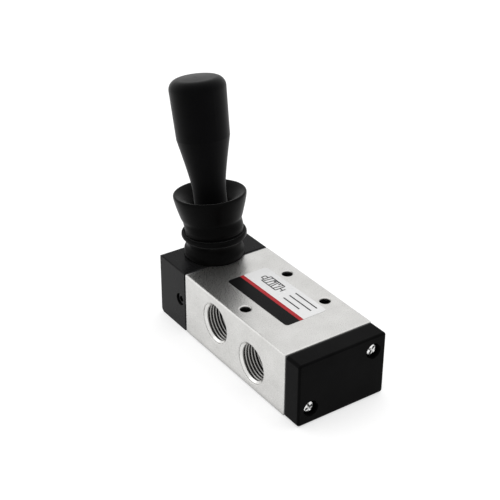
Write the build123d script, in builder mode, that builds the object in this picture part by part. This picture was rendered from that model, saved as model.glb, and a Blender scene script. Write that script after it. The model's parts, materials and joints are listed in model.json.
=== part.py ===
from build123d import *
from math import atan2, cos, degrees, radians, sin, sqrt, tan
import os

# Hand lever air valve: a 5/2 spool valve that a detented hand lever switches.
#
# Millimetres. X runs along the valve, from the lever housing (-X) to the end cap (+X),
# Y runs from the face with the two working ports (-Y) to the face with the supply and
# exhaust ports (+Y), and Z is up. The origin is the middle of the body's underside.
# The lever and the spool are drawn in the position where the lever leans away from the
# body, which is one of the valve's two detented positions.

# ---------------------------------------------------------------- driving sizes

# Clearances and fits, each measured on the radius or on one side
running_fit = 0.08          # turned parts that slide or swing in each other
press_fit = 0.02            # pins, rings and screws in the holes that hold them
soft_gap = 0.3              # rubber beside the rigid parts that it covers
swing_gap = 0.35            # around the lever over its whole swing
stop_gap = 0.3              # between the spool's end and its bumper

# Valve body
body_length = 67.6
body_width = 40.0
body_height = 27.0
body_edge_radius = 0.5
body_end_bevel = 0.25
bore_height = 13.2          # the spool's axis above the underside
bore_radius = 7.0

# Ports: five air chambers along the spool share one pitch
chamber_pitch = 12.4
chamber_width = 5.0
chamber_radius = 9.0
passage_height = 9.0
port_stagger = 2.2          # ports near the lever sit higher, ports near the cap lower
working_port_radius = 8.33  # G3/8 thread, at its major diameter
exhaust_port_radius = 6.58  # G1/4 thread, at its major diameter
port_depth = 10.4
port_bevel = 0.25

# Mounting holes, through the body from top to bottom
mount_hole_radius = 2.15
mount_hole_bevel = 0.25
mount_hole_pitch = 24.6
mount_hole_inset = 5.7      # from the long edges
mount_hole_shift = 0.4      # of the whole pattern, towards the end cap

# Lever housing and end cap
housing_length = 18.6
cap_length = 8.0
end_inset = 0.05            # the housing and the cap are this much smaller all round
housing_edge_radius = 0.5
housing_foot_radius = 1.8
cap_corner_radius = 1.2
cap_rim_radius = 0.9
gasket_thickness = 0.8
gasket_inset = 0.3

# Screws that hold the housing and the cap
screw_radius = 1.5
screw_grip = 7.5            # length of thread in the body
screw_head_radius = 2.6
screw_head_height = 2.2
screw_head_bevel = 0.6
screw_recess_radius = 3.35
cap_recess_depth = 3.4
housing_recess_depth = 10.0
screw_spread = 28.4         # across the width
screw_rise = 14.2           # across the height

# Spool and its seals
land_radius = bore_radius - running_fit
neck_radius = 4.0
journal_radius = 5.0
seal_thickness = 1.8        # section of a spool seal
seal_bevel = 0.5            # on its crown
seal_wall = 1.6             # from a seal's middle to the end of its piston
seal_squeeze = 0.03         # clearance left between a seal and the bore
wear_ring_width = 1.8
wear_ring_thickness = 0.8
end_seal_thickness = 2.4
end_seal_radius = 8.2
spacer_length = 3.1
spool_overhang = 3.8        # of the spool's end past the body's end face
spigot_radius = 2.0
spigot_length = 6.0
bumper_thickness = 1.2

# Lever
lever_lean = 10.5           # degrees from upright, in both positions
pivot_rise = 4.55           # the pivot pin above the housing's top
pivot_shift = 0.97          # the pivot pin from the turret's middle, towards the body
pin_radius = 1.5
pin_length = 14.0
lever_ball_radius = 2.5
lever_neck_radius = 1.5
lever_eye_radius = 4.0
lever_eye_width = 6.4
lever_rod_radius = 3.0
lever_rod_top = 55.0        # along the lever, from the pivot pin

# Turret on the housing, which carries the pin and the boot
turret_offset = 9.45        # of its middle from the body's end face
turret_radius = 8.6
turret_height = 9.2
turret_groove_radius = 7.6
turret_groove_rise = 1.8
turret_groove_width = 2.0

# Detent in the housing's side
detent_offset = 4.5         # from the body's end face
detent_ball_radius = 2.0
detent_groove_depth = 0.6
detent_bore_radius = 2.1
detent_spring_radius = 1.45
detent_wire_radius = 0.22
detent_spring_turns = 4.5
detent_plug_radius = 2.6
detent_plug_length = 5.6
detent_plug_recess = 0.8
detent_socket = 2.5         # across the flats

# Knob
knob_bottom = 11.6          # all along the lever, from the pivot pin
knob_neck_top = 22.0
knob_shoulder = 45.0
knob_crown = 64.7
knob_neck_radius = 6.7
knob_shoulder_radius = 10.75
knob_crown_radius = 11.4
knob_edge_radius = 4.0
knob_dome_angle = 5.0       # the top's slope where it meets the rounded edge
knob_taper_angle = 12.0     # the slope under the shoulder
knob_taper_reach = 7.0      # how far down that slope runs nearly straight
knob_neck_reach = 5.0       # how far the neck rounds off
insert_radius = 4.6
insert_bottom = 39.0
insert_top = 56.0

# Boot
boot_wall = 1.3
boot_collar_height = 12.4   # where the boot grips the knob's neck, along the lever
boot_rim_height = 22.0      # the open rim, along the lever
boot_rim_lean = 7.0         # degrees from upright: the rim leans less than the lever
boot_rim_radius = 14.95
boot_flange_radius = 12.3
boot_flange_thickness = 1.9
boot_waist_radius = 10.45
boot_lip_radius = 13.35
boot_fold_radius = 11.4

# ---------------------------------------------------------------- derived places

body_end = body_length / 2
body_side = body_width / 2
housing_face = -body_end - gasket_thickness
housing_end = housing_face - housing_length
cap_face = body_end + gasket_thickness
cap_end = cap_face + cap_length
end_top = body_height - end_inset
end_side = body_side - end_inset

turret_x = -body_end - turret_offset
pivot_x = turret_x + pivot_shift
pivot_z = end_top + pivot_rise
lever_arm = pivot_z - bore_height
half_stroke = lever_arm * sin(radians(lever_lean))
stroke = 2 * half_stroke
lever_ball_x = pivot_x + half_stroke

# Chambers, from the lever end: exhaust R, port A, supply P, port B, exhaust S
chambers = [chamber_pitch * place for place in (-2, -1, 0, 1, 2)]
exhaust_r, port_a, supply_p, port_b, exhaust_s = chambers

# Each piston blocks the bore land on one side of its port and opens the other
seal_gap = chamber_pitch - stroke
piston_a_seals = (port_a + chamber_pitch / 2 - seal_gap, port_a + chamber_pitch / 2)
piston_b_seals = (port_b + chamber_pitch / 2 - seal_gap, port_b + chamber_pitch / 2)
spool_seal_places = piston_a_seals + piston_b_seals
spool_end = body_end + spool_overhang
rod_joint = exhaust_r + chamber_width / 2 + 0.8
seal_pocket_depth = end_seal_thickness + spacer_length
rod_gap = journal_radius + soft_gap

spool_axis = Axis((0, 0, bore_height), (1, 0, 0))
spool_section = Plane(origin=(0, 0, bore_height), x_dir=(1, 0, 0), z_dir=(0, -1, 0))

lean = radians(lever_lean)
lever_direction = (-sin(lean), 0, cos(lean))
pivot = (pivot_x, 0, pivot_z)
lever_axis = Axis(pivot, lever_direction)
lever_section = Plane(origin=pivot, x_dir=(cos(lean), 0, sin(lean)), z_dir=(0, -1, 0))

os.makedirs("parts", exist_ok=True)


def keep(piece, name):
    """Label a finished piece and write it as its own node."""
    piece.part.label = name
    export_step(piece.part, f"parts/{name}.step")


def turned(start, end, radius):
    """Add one turned length to the half section being drawn."""
    with Locations(((start + end) / 2, radius / 2)):
        Rectangle(end - start, radius)


def inward(x, y, z):
    """The plane of a feature that runs from the side at y towards the valve's middle."""
    return Plane(origin=(x, y, z), x_dir=(1, 0, 0), z_dir=(0, -1 if y > 0 else 1, 0))


def along(x):
    """The plane of a feature that runs along +X, its own x and y being Y and Z."""
    return Plane(origin=(x, 0, 0), x_dir=(0, 1, 0), z_dir=(1, 0, 0))


def screw_places(slope):
    """Two screws on a diagonal of the end face, rising with Y or falling with it."""
    half = screw_spread / 2
    rise = slope * screw_rise / 2
    middle = body_height / 2
    return [(-half, middle - rise), (half, middle + rise)]


cap_screw_places = screw_places(1)
housing_screw_places = screw_places(-1)

# ---------------------------------------------------------------- valve body

far_holes = [(mount_hole_shift + side * mount_hole_pitch / 2, body_side - mount_hole_inset)
             for side in (-1, 1)]
near_hole = (mount_hole_shift, -body_side + mount_hole_inset)

# Each port: its chamber, its side of the body, its thread radius and its height
ports = [
    (port_a, -1, working_port_radius, bore_height + port_stagger),
    (port_b, -1, working_port_radius, bore_height - port_stagger),
    (exhaust_r, 1, exhaust_port_radius, bore_height + port_stagger),
    (supply_p, 1, working_port_radius, bore_height),
    (exhaust_s, 1, exhaust_port_radius, bore_height - port_stagger),
]

with BuildPart() as valve_body:
    with BuildSketch(along(-body_end)):
        with Locations((0, body_height / 2)):
            RectangleRounded(body_width, body_height, body_edge_radius)
    extrude(amount=body_length)
    chamfer(valve_body.faces().filter_by(Axis.X).edges(), body_end_bevel)

    # Spool bore, its five air chambers and the seal pockets at both ends
    with BuildSketch(spool_section):
        turned(-body_end, body_end, bore_radius)
        for chamber in chambers:
            turned(chamber - chamber_width / 2, chamber + chamber_width / 2, chamber_radius)
        turned(-body_end, -body_end + seal_pocket_depth, end_seal_radius)
        turned(body_end - seal_pocket_depth, body_end, end_seal_radius)
    revolve(axis=spool_axis, mode=Mode.SUBTRACT)

    # Threaded ports, each with a slot through to its chamber
    for x, side, radius, z in ports:
        with BuildSketch(inward(x, side * body_side, z)):
            Circle(radius)
        extrude(amount=port_depth, mode=Mode.SUBTRACT)
        with BuildSketch(inward(x, side * body_side, z)):
            Circle(radius + port_bevel)
        extrude(amount=port_bevel, taper=45, mode=Mode.SUBTRACT)
        with BuildSketch(inward(x, side * (body_side - port_depth), (z + bore_height) / 2)):
            Rectangle(chamber_width, passage_height)
        extrude(amount=body_side - port_depth - bore_radius, mode=Mode.SUBTRACT)

    # Mounting holes from top to bottom
    with BuildSketch(Plane.XY):
        with Locations(near_hole, *far_holes):
            Circle(mount_hole_radius)
    extrude(amount=body_height, mode=Mode.SUBTRACT)
    for face in (valve_body.faces().sort_by(Axis.Z)[0], valve_body.faces().sort_by(Axis.Z)[-1]):
        chamfer(face.edges().filter_by(GeomType.CIRCLE), mount_hole_bevel)

    # Tapped holes for the housing's screws and the cap's
    for face, direction, places in ((-body_end, 1, housing_screw_places), (body_end, -1, cap_screw_places)):
        with BuildSketch(along(face)):
            with Locations(*places):
                Circle(screw_radius + press_fit)
        extrude(amount=direction * (screw_grip + 1), mode=Mode.SUBTRACT)
keep(valve_body, "valve_body")

# ---------------------------------------------------------------- lever housing

upper_slot = 2 * (lever_eye_radius + swing_gap)
upper_slot_width = lever_eye_width + 2 * swing_gap
lower_slot = 2 * (half_stroke + lever_ball_radius + 2 * swing_gap)
lower_slot_width = 2 * (lever_ball_radius + swing_gap)
lower_slot_top = end_top - 3
rod_tail = lever_ball_x - lever_ball_radius - 1.9
cavity_end = rod_tail - stroke - swing_gap
detent_x = -body_end - detent_offset
detent_plug_face = -end_side + detent_plug_recess
detent_plug_back = detent_plug_face + detent_plug_length

with BuildPart() as lever_housing:
    with BuildSketch(along(housing_end)):
        with Locations((0, body_height / 2)):
            Rectangle(2 * end_side, body_height - 2 * end_inset)
    extrude(amount=housing_length)
    foot = lever_housing.edges().filter_by(Axis.Y).group_by(Axis.X)[0].sort_by(Axis.Z)[0]
    fillet(foot, housing_foot_radius)
    fillet(lever_housing.faces().sort_by(Axis.Z)[-1].edges(), housing_edge_radius)

    # Turret, with the groove that the boot's bead snaps into
    with BuildSketch(Plane.XY.offset(end_top)):
        with Locations((turret_x, 0)):
            Circle(turret_radius)
    extrude(amount=turret_height)
    fillet(lever_housing.edges().group_by(Axis.Z)[-1], 0.8)
    with BuildSketch(Plane.XY.offset(end_top + turret_groove_rise)):
        with Locations((turret_x, 0)):
            Circle(turret_radius + 1)
            Circle(turret_groove_radius, mode=Mode.SUBTRACT)
    extrude(amount=turret_groove_width, mode=Mode.SUBTRACT)

    # Slot for the lever: narrow round its eye, longer where its ball swings
    with BuildSketch(Plane.XY.offset(bore_height)):
        with Locations((pivot_x, 0)):
            RectangleRounded(upper_slot, upper_slot_width, 1)
    extrude(amount=end_top + turret_height - bore_height, mode=Mode.SUBTRACT)
    with BuildSketch(Plane.XY.offset(bore_height)):
        with Locations((pivot_x, 0)):
            RectangleRounded(lower_slot, lower_slot_width, 1)
    extrude(amount=lower_slot_top - bore_height, mode=Mode.SUBTRACT)

    # Room for the detent rod
    with BuildSketch(spool_section):
        turned(cavity_end, housing_face, rod_gap)
    revolve(axis=spool_axis, mode=Mode.SUBTRACT)

    # Pivot pin hole through the turret
    with BuildSketch(inward(pivot_x, -body_side, pivot_z)):
        Circle(pin_radius + press_fit)
    extrude(amount=body_width, mode=Mode.SUBTRACT)

    # Stepped bore for the detent, from the near side
    with BuildSketch(inward(detent_x, -body_side, bore_height)):
        Circle(detent_bore_radius)
    extrude(amount=body_side - journal_radius, mode=Mode.SUBTRACT)
    with BuildSketch(inward(detent_x, -body_side, bore_height)):
        Circle(detent_plug_radius + press_fit)
    extrude(amount=body_side + detent_plug_back, mode=Mode.SUBTRACT)

    # Screw holes, with deep recesses in the end for the heads
    with BuildSketch(along(housing_end)):
        with Locations(*housing_screw_places):
            Circle(screw_radius + press_fit)
    extrude(amount=housing_length, mode=Mode.SUBTRACT)
    with BuildSketch(along(housing_end)):
        with Locations(*housing_screw_places):
            Circle(screw_recess_radius)
    extrude(amount=housing_recess_depth, mode=Mode.SUBTRACT)
keep(lever_housing, "lever_housing")

# ---------------------------------------------------------------- end cap

cap_pocket_end = spool_end + stop_gap + bumper_thickness

with BuildPart() as end_cap:
    with BuildSketch(along(cap_face)):
        with Locations((0, body_height / 2)):
            RectangleRounded(2 * end_side, body_height - 2 * end_inset, cap_corner_radius)
    extrude(amount=cap_length)
    fillet(end_cap.faces().sort_by(Axis.X)[-1].edges(), cap_rim_radius)

    # Pocket for the spool's end and its bumper
    with BuildSketch(spool_section):
        turned(cap_face, cap_pocket_end, rod_gap)
    revolve(axis=spool_axis, mode=Mode.SUBTRACT)

    # Screw holes, recessed in the end face
    with BuildSketch(along(cap_face)):
        with Locations(*cap_screw_places):
            Circle(screw_radius + press_fit)
    extrude(amount=cap_length, mode=Mode.SUBTRACT)
    with BuildSketch(along(cap_end)):
        with Locations(*cap_screw_places):
            Circle(screw_recess_radius)
    extrude(amount=-cap_recess_depth, mode=Mode.SUBTRACT)
keep(end_cap, "end_cap")

# ---------------------------------------------------------------- screws and gaskets


def pan_head_screws(seat, direction, places):
    """Two cross-recessed screws whose heads sit at x = seat and point along direction."""
    with BuildPart() as screws:
        shank = abs(direction * body_end - seat) + screw_grip
        with BuildSketch(along(seat)):
            with Locations(*places):
                Circle(screw_radius)
        extrude(amount=-direction * shank)
        with BuildSketch(along(seat)):
            with Locations(*places):
                Circle(screw_head_radius)
        extrude(amount=direction * screw_head_height)
        crown = screws.faces().sort_by(Axis.X)[-2:] if direction > 0 else screws.faces().sort_by(Axis.X)[:2]
        chamfer(crown.edges(), screw_head_bevel)
        with BuildSketch(along(seat + direction * screw_head_height)):
            with Locations(*places):
                Rectangle(2.8, 0.6)
                Rectangle(0.6, 2.8)
        extrude(amount=-direction * 1.3, mode=Mode.SUBTRACT)
    return screws


cap_screws = pan_head_screws(cap_end - cap_recess_depth, 1, cap_screw_places)
keep(cap_screws, "cap_screws")
housing_screws = pan_head_screws(housing_end + housing_recess_depth, -1, housing_screw_places)
keep(housing_screws, "housing_screws")


def face_gasket(start, places):
    """A flat rubber gasket between the body's end face and the piece beside it."""
    with BuildPart() as gasket:
        with BuildSketch(along(start)):
            with Locations((0, body_height / 2)):
                RectangleRounded(
                    body_width - 2 * gasket_inset,
                    body_height - 2 * gasket_inset,
                    body_edge_radius,
                )
            with Locations(*places):
                Circle(screw_radius + soft_gap, mode=Mode.SUBTRACT)
            with Locations((0, bore_height)):
                Circle(rod_gap, mode=Mode.SUBTRACT)
        extrude(amount=gasket_thickness)
    return gasket


housing_gasket = face_gasket(housing_face, housing_screw_places)
keep(housing_gasket, "housing_gasket")
cap_gasket = face_gasket(body_end, cap_screw_places)
keep(cap_gasket, "cap_gasket")

# ---------------------------------------------------------------- static seals in the body

with BuildPart() as end_seals:
    for side in (-1, 1):
        inner = side * (body_end - seal_pocket_depth)
        with BuildSketch(along(inner)):
            with Locations((0, bore_height)):
                Circle(end_seal_radius - press_fit)
                Circle(journal_radius + running_fit / 2, mode=Mode.SUBTRACT)
        extrude(amount=side * end_seal_thickness)
keep(end_seals, "end_seals")

with BuildPart() as seal_spacers:
    for side in (-1, 1):
        with BuildSketch(along(side * (body_end - spacer_length))):
            with Locations((0, bore_height)):
                Circle(end_seal_radius - press_fit)
                Circle(rod_gap, mode=Mode.SUBTRACT)
        extrude(amount=side * spacer_length)
keep(seal_spacers, "seal_spacers")

with BuildPart() as spool_bumper:
    with BuildSketch(along(cap_pocket_end - bumper_thickness)):
        with Locations((0, bore_height)):
            Circle(rod_gap - press_fit)
    extrude(amount=bumper_thickness)
keep(spool_bumper, "spool_bumper")

# ---------------------------------------------------------------- spool

groove_half = seal_thickness / 2 + 0.2
seal_mid_radius = bore_radius - seal_squeeze - seal_thickness / 2
groove_radius = seal_mid_radius - seal_thickness / 2 - press_fit
wear_mid_radius = bore_radius - seal_squeeze - wear_ring_thickness / 2
wear_groove_radius = wear_mid_radius - wear_ring_thickness / 2 - press_fit
piston_middles = [sum(pair) / 2 for pair in (piston_a_seals, piston_b_seals)]

with BuildPart() as spool:
    with BuildSketch(spool_section):
        turned(rod_joint, spool_end, neck_radius)
        turned(exhaust_s + chamber_width / 2 - 1, spool_end, journal_radius)
        for first, last in (piston_a_seals, piston_b_seals):
            turned(first - seal_wall, last + seal_wall, land_radius)
    revolve(axis=spool_axis)
    chamfer(spool.faces().sort_by(Axis.X)[-1].edges(), 0.6)
    with BuildSketch(spool_section):
        for place in spool_seal_places:
            with Locations((place, (groove_radius + bore_radius) / 2)):
                Rectangle(2 * groove_half, bore_radius - groove_radius)
        for place in piston_middles:
            with Locations((place, (wear_groove_radius + bore_radius) / 2)):
                Rectangle(wear_ring_width + 2 * press_fit, bore_radius - wear_groove_radius)
        turned(rod_joint, rod_joint + spigot_length + 0.5, spigot_radius + press_fit)
    revolve(axis=spool_axis, mode=Mode.SUBTRACT)
keep(spool, "spool")

with BuildPart() as spool_seals:
    with BuildSketch(spool_section) as seal_sections:
        for place in spool_seal_places:
            with Locations((place, seal_mid_radius)):
                Rectangle(seal_thickness, seal_thickness)
        chamfer(seal_sections.vertices().group_by(Axis.Y)[-1], seal_bevel)
    revolve(axis=spool_axis)
keep(spool_seals, "spool_seals")

with BuildPart() as wear_rings:
    with BuildSketch(spool_section):
        for place in piston_middles:
            with Locations((place, wear_mid_radius)):
                Rectangle(wear_ring_width, wear_ring_thickness)
    revolve(axis=spool_axis)
keep(wear_rings, "wear_rings")

groove_side = detent_groove_depth * sqrt(2)

# The steel rod that the lever and the detent act on, screwed into the spool's end
with BuildPart() as detent_rod:
    with BuildSketch(spool_section):
        turned(rod_tail, rod_joint, journal_radius)
        turned(rod_joint, rod_joint + spigot_length, spigot_radius)
    revolve(axis=spool_axis)
    chamfer(detent_rod.faces().sort_by(Axis.X)[0].edges(), 0.8)
    # Two V grooves, one for each position of the lever
    with BuildSketch(spool_section):
        for place in (detent_x, detent_x + stroke):
            with Locations((place, journal_radius)):
                Rectangle(groove_side, groove_side, rotation=45)
    revolve(axis=spool_axis, mode=Mode.SUBTRACT)
    # Blind hole for the lever's ball, open at the top
    ball_floor = bore_height - lever_ball_radius - running_fit
    with BuildSketch(Plane.XY.offset(ball_floor)):
        with Locations((lever_ball_x, 0)):
            Circle(lever_ball_radius + running_fit)
    extrude(amount=2 * journal_radius, mode=Mode.SUBTRACT)
keep(detent_rod, "detent_rod")

# ---------------------------------------------------------------- detent in the housing

detent_ball_y = -journal_radius - running_fit - detent_ball_radius

with BuildPart() as detent_ball:
    with Locations((detent_x, detent_ball_y, bore_height)):
        Sphere(detent_ball_radius)
keep(detent_ball, "detent_ball")

spring_seat = detent_plug_back + detent_wire_radius
spring_length = detent_ball_y - detent_ball_radius - detent_wire_radius - spring_seat

with BuildPart() as detent_spring:
    with BuildLine():
        coil = Helix(
            spring_length / detent_spring_turns,
            spring_length,
            detent_spring_radius,
            center=(detent_x, spring_seat, bore_height),
            direction=(0, 1, 0),
        )
    with BuildSketch(Plane(origin=coil @ 0, z_dir=coil % 0)):
        RegularPolygon(detent_wire_radius, 6)
    sweep(is_frenet=True)
keep(detent_spring, "detent_spring")

with BuildPart() as detent_plug:
    with BuildSketch(inward(detent_x, detent_plug_face, bore_height)):
        Circle(detent_plug_radius)
        RegularPolygon(detent_socket / 2, 6, major_radius=False, mode=Mode.SUBTRACT)
    extrude(amount=detent_plug_length)
    with BuildSketch(inward(detent_x, detent_plug_face + detent_plug_length / 2, bore_height)):
        RegularPolygon(detent_socket / 2, 6, major_radius=False)
    extrude(amount=detent_plug_length / 2)
    chamfer(detent_plug.faces().sort_by(Axis.Y)[0].outer_wire().edges(), 0.3)
keep(detent_plug, "detent_plug")

# ---------------------------------------------------------------- lever

with BuildPart() as lever_shaft:
    with BuildSketch(lever_section):
        with BuildLine():
            Polyline(
                (0, -lever_arm),
                (lever_neck_radius, -lever_arm),
                (lever_neck_radius, -lever_arm / 2),
                (lever_rod_radius, -lever_eye_radius),
                (lever_rod_radius, lever_rod_top - 0.6),
                (lever_rod_radius - 0.6, lever_rod_top),
                (0, lever_rod_top),
                close=True,
            )
        make_face()
    revolve(axis=lever_axis)
    with Locations(Plane(origin=pivot, z_dir=lever_direction).offset(-lever_arm)):
        Sphere(lever_ball_radius)
    with BuildSketch(inward(pivot_x, -lever_eye_width / 2, pivot_z)):
        Circle(lever_eye_radius)
    extrude(amount=lever_eye_width)
    with BuildSketch(inward(pivot_x, -lever_eye_width / 2, pivot_z)):
        Circle(pin_radius + running_fit)
    extrude(amount=lever_eye_width, mode=Mode.SUBTRACT)
keep(lever_shaft, "lever_shaft")

with BuildPart() as pivot_pin:
    with BuildSketch(inward(pivot_x, -pin_length / 2, pivot_z)):
        Circle(pin_radius)
    extrude(amount=pin_length)
    chamfer(pivot_pin.edges(), 0.2)
keep(pivot_pin, "pivot_pin")

with BuildPart() as knob_insert:
    with BuildSketch(lever_section):
        with Locations((insert_radius / 2, (insert_bottom + insert_top) / 2)):
            Rectangle(insert_radius, insert_top - insert_bottom)
        hole = lever_rod_radius + press_fit
        with Locations((hole / 2, (insert_bottom + lever_rod_top) / 2)):
            Rectangle(hole, lever_rod_top - insert_bottom, mode=Mode.SUBTRACT)
    revolve(axis=lever_axis)
keep(knob_insert, "knob_insert")

grip_angle = degrees(atan2(knob_crown_radius - knob_shoulder_radius, knob_crown - knob_shoulder))
knob_edge_turn = 90 + grip_angle - knob_dome_angle
knob_dome_slope = tan(radians(knob_dome_angle) / 2)
knob_taper = knob_taper_reach * tan(radians(knob_taper_angle))

with BuildPart() as knob:
    with BuildSketch(lever_section):
        with BuildLine():
            neck = Line((knob_neck_radius, knob_bottom), (knob_neck_radius, knob_neck_top))
            flare = Bezier(
                neck @ 1,
                (knob_neck_radius, knob_neck_top + knob_neck_reach),
                (knob_shoulder_radius - knob_taper, knob_shoulder - knob_taper_reach),
                (knob_shoulder_radius, knob_shoulder),
            )
            grip = Line(flare @ 1, (knob_crown_radius, knob_crown))
            edge = JernArc(grip @ 1, grip % 1, knob_edge_radius, knob_edge_turn)
            knob_top = (edge @ 1).Y + (edge @ 1).X * knob_dome_slope
            dome = TangentArc(edge @ 1, (0, knob_top), tangent=edge % 1)
            Polyline(dome @ 1, (0, knob_bottom), neck @ 0)
        make_face()
    revolve(axis=lever_axis)
    with BuildSketch(lever_section):
        with Locations((insert_radius / 2, (insert_bottom + insert_top) / 2)):
            Rectangle(insert_radius, insert_top - insert_bottom)
        hole = lever_rod_radius + press_fit
        with Locations((hole / 2, (knob_bottom + insert_bottom) / 2)):
            Rectangle(hole, insert_bottom - knob_bottom)
    revolve(axis=lever_axis, mode=Mode.SUBTRACT)
keep(knob, "knob")

# ---------------------------------------------------------------- boot
#
# The boot stands upright on the turret and leans with the lever above it. Its middle line
# turns where the turret's axis meets the lever's, so each of its rings has a height along
# that line and a lean that grows from nothing below the turn to the rim's above it.

turn_height = (pivot_x - turret_x) / tan(lean) + pivot_z
turn_along = (turn_height - pivot_z) / cos(lean)
turn_reach = 5.0


def ring_plane(height):
    """The plane of the boot's ring at a height along its middle line, from the turn."""
    share = min(max((height + turn_reach) / (2 * turn_reach), 0), 1)
    tilt = radians(boot_rim_lean) * share * share * (3 - 2 * share)
    if height > 0:
        centre = (turret_x - height * sin(lean), 0, turn_height + height * cos(lean))
    else:
        centre = (turret_x, 0, turn_height + height)
    return Plane(origin=centre, x_dir=(cos(tilt), 0, sin(tilt)), z_dir=(-sin(tilt), 0, cos(tilt)))


flange_bottom = end_top + soft_gap - turn_height
flange_top = flange_bottom + boot_flange_thickness
lip = flange_top + 6.8
fold = flange_top + 7.1
cup_waist = flange_top + 11.8
rim = boot_rim_height - turn_along
collar = boot_collar_height - turn_along
collar_radius = knob_neck_radius + soft_gap
inner_flange_radius = turret_radius + soft_gap

# Outside, from the flange up: waist, upturned lip, fold, cup and open rim
outer_rings = [
    (flange_bottom, boot_flange_radius - 0.15),
    (flange_top, boot_flange_radius),
    (flange_top + 0.9, boot_waist_radius + 0.6),
    (flange_top + 2.2, boot_waist_radius),
    (flange_top + 4.0, boot_waist_radius + 1.1),
    (lip - 1.4, boot_lip_radius - 0.5),
    (lip, boot_lip_radius),
    (lip + 1.2, boot_lip_radius - 0.4),
    (fold, boot_fold_radius + 0.1),
    (fold + 1.7, boot_fold_radius + 0.8),
    (cup_waist, boot_fold_radius + 0.1),
    (rim - 9.5, boot_rim_radius - 2.4),
    (rim - 3.0, boot_rim_radius - 0.3),
    (rim - 0.6, boot_rim_radius),
    (rim, boot_rim_radius - 0.5),
]
# The dish inside the rim and the sleeve below it, which grips the knob's neck
dish_rings = [
    (collar - 1.2, collar_radius),
    (collar + 1.5, collar_radius),
    (rim - 5.0, collar_radius + 1.6),
    (rim - 1.4, boot_rim_radius - 3.6),
    (rim, boot_rim_radius - 1.0),
]
# The hollow between the wall and the dish, open at the flange
hollow_rings = [
    (flange_bottom, inner_flange_radius),
    (flange_top + 5.0, inner_flange_radius),
    (fold, boot_fold_radius - boot_wall),
    (rim - 9.5, boot_rim_radius - 2.4 - boot_wall),
    (rim - 4.0, boot_rim_radius - 0.6 - boot_wall),
]


def ring_solid(rings, grow=0):
    """A solid whose wall runs straight from each ring to the next."""
    with BuildPart() as stack:
        for height, radius in rings:
            with BuildSketch(ring_plane(height)):
                Circle(radius + grow)
        loft(ruled=True)
    return stack


boot_outside = ring_solid(outer_rings)
boot_hollow = ring_solid(hollow_rings)
dish = ring_solid(dish_rings)
dish_wall = ring_solid(dish_rings[:-1], boot_wall)

with BuildPart() as boot:
    add(boot_outside.part)
    with BuildPart(mode=Mode.SUBTRACT):
        add(boot_hollow.part)
        add(dish_wall.part, mode=Mode.SUBTRACT)
    add(dish.part, mode=Mode.SUBTRACT)
keep(boot, "boot")
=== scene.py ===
"""Looks of a hand lever air valve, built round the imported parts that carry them.

Everything is in metres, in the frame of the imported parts: X runs along the valve towards
the end cap, Z is up, and the origin is the middle of the body's underside.
"""

import json
import logging
import math
from dataclasses import dataclass
from enum import Enum
from typing import Iterable, Sequence

import bmesh
import bpy
from mathutils import Matrix, Vector


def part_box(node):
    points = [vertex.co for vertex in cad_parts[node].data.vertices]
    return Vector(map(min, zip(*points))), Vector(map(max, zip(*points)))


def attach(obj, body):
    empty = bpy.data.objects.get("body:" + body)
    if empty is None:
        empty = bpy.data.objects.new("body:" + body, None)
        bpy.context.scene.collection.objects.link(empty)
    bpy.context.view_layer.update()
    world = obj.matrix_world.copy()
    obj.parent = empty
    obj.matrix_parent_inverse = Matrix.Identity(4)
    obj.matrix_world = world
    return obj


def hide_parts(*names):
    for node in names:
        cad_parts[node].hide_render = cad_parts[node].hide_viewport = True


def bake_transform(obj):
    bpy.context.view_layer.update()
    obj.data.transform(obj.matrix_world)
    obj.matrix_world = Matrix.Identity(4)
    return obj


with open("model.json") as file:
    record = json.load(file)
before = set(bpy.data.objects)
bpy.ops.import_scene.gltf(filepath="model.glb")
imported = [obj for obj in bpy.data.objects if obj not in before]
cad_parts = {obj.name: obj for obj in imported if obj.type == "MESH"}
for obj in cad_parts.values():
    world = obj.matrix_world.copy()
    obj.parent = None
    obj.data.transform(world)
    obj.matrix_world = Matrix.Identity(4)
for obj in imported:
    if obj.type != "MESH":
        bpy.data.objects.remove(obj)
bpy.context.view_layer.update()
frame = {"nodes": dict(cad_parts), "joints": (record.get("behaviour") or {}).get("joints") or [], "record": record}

MM = 0.001
Color = tuple[float, float, float]
Point = tuple[float, float]

# Most of a noise lies between these two levels
NOISE_HOLLOW = 0.3
NOISE_PEAK = 0.7

# Share of open surroundings at which the painted shade in cavities is darkest, and at which a surface counts as
# open and gets none
PAINTED_SHADE_DEEP = 0.15
PAINTED_SHADE_OPEN = 0.8

# The corners of a square, anticlockwise, in halves of its sides
SQUARE = ((-1, -1), (1, -1), (1, 1), (-1, 1))

# Pipe threads: both sizes have 19 turns to the inch
PIPE_PITCH = 1.337 * MM
LARGE_PORT_MINOR = 7.48 * MM
SMALL_PORT_MINOR = 5.72 * MM

log = logging.getLogger("hand_lever_valve")


class Carrier(Enum):
    """The bodies that a detailed piece rides on."""

    VALVE = "valve"
    LEVER = "lever"


class Slope(Enum):
    """How the diagonal through an end face's two screws runs, seen along +X."""

    RISING = 1
    FALLING = -1


# ------------------------------------------------------------------ shading


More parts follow.
